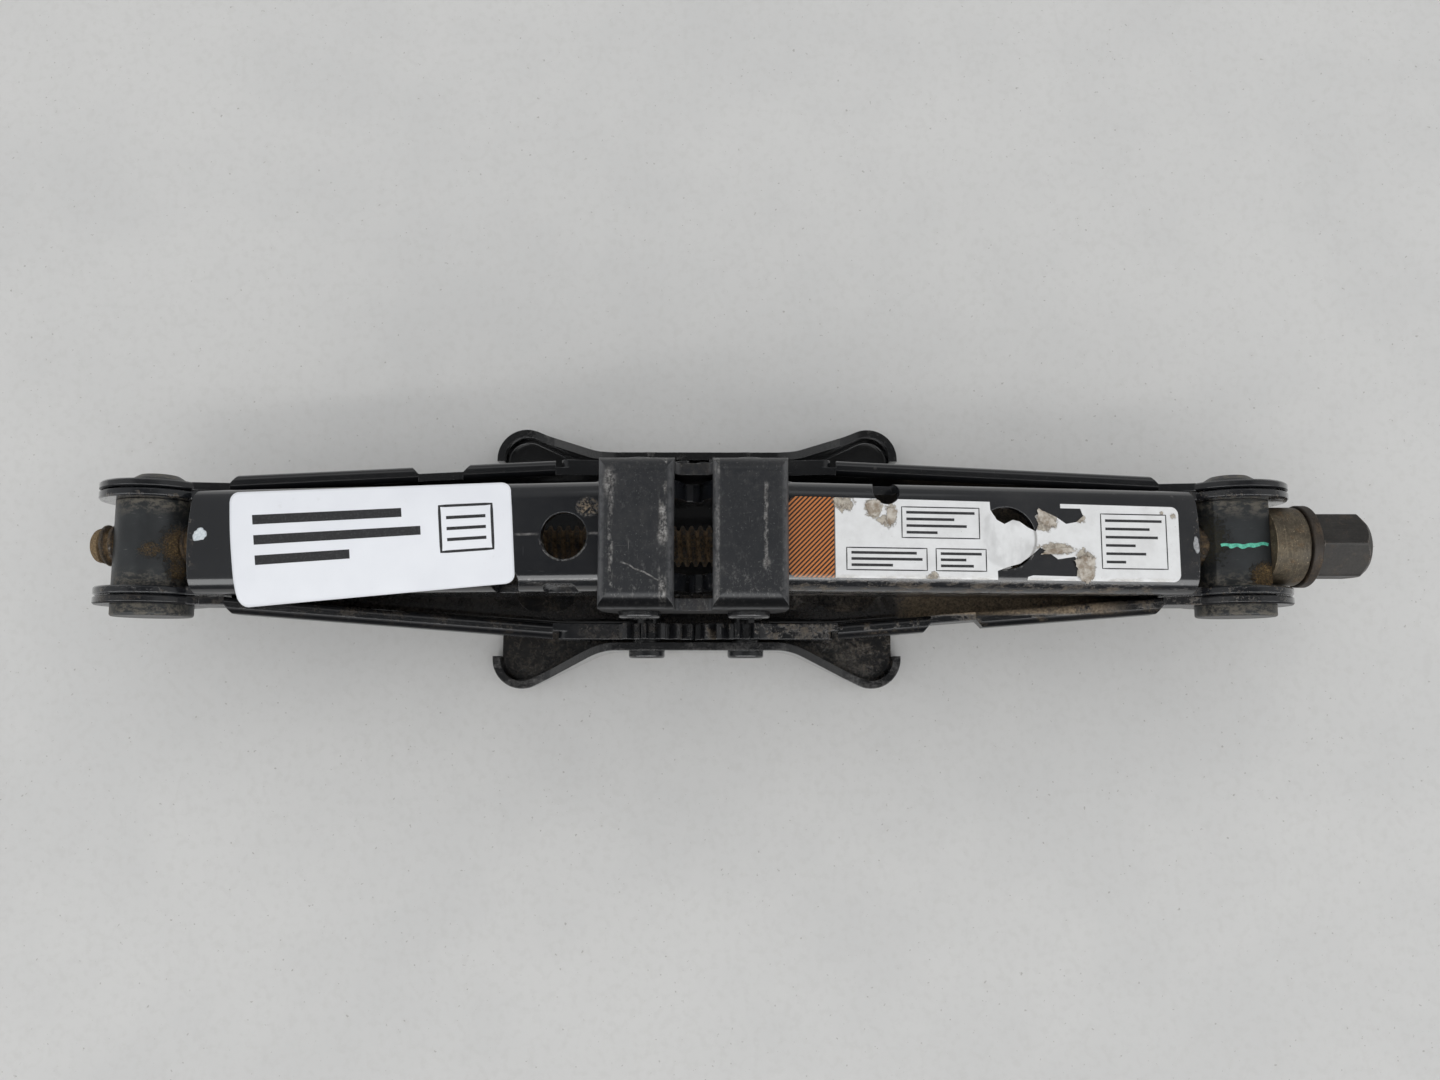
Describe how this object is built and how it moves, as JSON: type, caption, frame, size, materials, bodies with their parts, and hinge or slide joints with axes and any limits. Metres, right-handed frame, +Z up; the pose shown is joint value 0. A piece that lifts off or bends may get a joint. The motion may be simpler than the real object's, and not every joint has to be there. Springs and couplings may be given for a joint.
{
  "type": "scissor jack",
  "caption": "Collapsed screw-driven scissor jack: four toothed channel arms, slotted load head, flared base plate, and a threaded spindle with a hex drive.",
  "frame": {"origin": "centre of the base plate's flat underside", "axes": "+Z up, +X along the spindle toward the drive hex, +Y across the jack"},
  "size_m": [0.429, 0.0968, 0.0865],
  "materials": {
    "black_paint": "glossy black paint, dusty and scratched",
    "pin_paint": "black paint over steel pins",
    "trunnion_paint": "thin dark paint with dried grease",
    "spindle_steel": "greased and lightly rusted steel thread",
    "bearing_steel": "dull brown-grey steel",
    "hex_steel": "dark phosphated steel",
    "label_film": "printed white film, worn and torn",
    "tag_paper": "plain white paper"
  },
  "bodies": {
    "base": {"base_plate": "black_paint", "base_pin_left": "pin_paint", "base_pin_right": "pin_paint"},
    "left_lower": {"lower_arm_left": "black_paint"},
    "right_lower": {"lower_arm_right": "black_paint"},
    "nut": {"trunnion_nut": "trunnion_paint", "trunnion_washer_left": "trunnion_paint"},
    "left_upper": {"upper_arm_left": "black_paint", "paper_tag": "tag_paper"},
    "load_head": {"saddle": "black_paint", "saddle_pin_left": "pin_paint", "saddle_pin_right": "pin_paint"},
    "block": {"trunnion_block": "trunnion_paint", "trunnion_washer_right": "trunnion_paint", "bearing_cup": "bearing_steel", "bearing_race_fixed": "bearing_steel", "bearing_balls": "bearing_steel"},
    "right_upper": {"upper_arm_right": "black_paint", "instruction_label": "label_film"},
    "spindle": {"lead_screw": "spindle_steel", "bearing_race_turning": "bearing_steel", "thrust_flange": "bearing_steel", "drive_hex": "hex_steel"}
  },
  "joints": [
    {"name": "left_lower_lift", "type": "hinge", "parent": "base", "child": "left_lower", "pos_m": [-0.0175, 0, 0.0245], "axis": [0, 1, 0], "range_deg": [0, 50.02]},
    {"name": "right_lower_lift", "type": "hinge", "parent": "base", "child": "right_lower", "pos_m": [0.0175, 0, 0.0245], "axis": [0, -1, 0], "range_deg": [0, 50.02]},
    {"name": "nut_level", "type": "hinge", "parent": "left_lower", "child": "nut", "pos_m": [-0.18317, 0, 0.0455], "axis": [0, -1, 0], "range_deg": [0, 50.02]},
    {"name": "left_upper_lift", "type": "hinge", "parent": "left_lower", "child": "left_upper", "pos_m": [-0.18317, 0, 0.0455], "axis": [0, -1, 0], "range_deg": [0, 100.04]},
    {"name": "load_head_level", "type": "hinge", "parent": "left_upper", "child": "load_head", "pos_m": [-0.0175, 0, 0.0665], "axis": [0, 1, 0], "range_deg": [0, 50.02]},
    {"name": "block_level", "type": "hinge", "parent": "right_lower", "child": "block", "pos_m": [0.18317, 0, 0.0455], "axis": [0, 1, 0], "range_deg": [0, 50.02]},
    {"name": "right_upper_lift", "type": "hinge", "parent": "right_lower", "child": "right_upper", "pos_m": [0.18317, 0, 0.0455], "axis": [0, 1, 0], "range_deg": [0, 100.04]},
    {"name": "spindle_turn", "type": "hinge", "parent": "block", "child": "spindle", "pos_m": [0.18317, 0, 0.0455], "axis": [-1, 0, 0], "range_deg": [0, 18060]}
  ],
  "couplings": [
    {"joint": "left_lower_lift", "follows": "spindle_turn", "ratio": 0.0027685},
    {"joint": "right_lower_lift", "follows": "spindle_turn", "ratio": 0.0027685},
    {"joint": "nut_level", "follows": "spindle_turn", "ratio": 0.0027685},
    {"joint": "left_upper_lift", "follows": "spindle_turn", "ratio": 0.0055371},
    {"joint": "load_head_level", "follows": "spindle_turn", "ratio": 0.0027685},
    {"joint": "block_level", "follows": "spindle_turn", "ratio": 0.0027685},
    {"joint": "right_upper_lift", "follows": "spindle_turn", "ratio": 0.0055371}
  ]
}
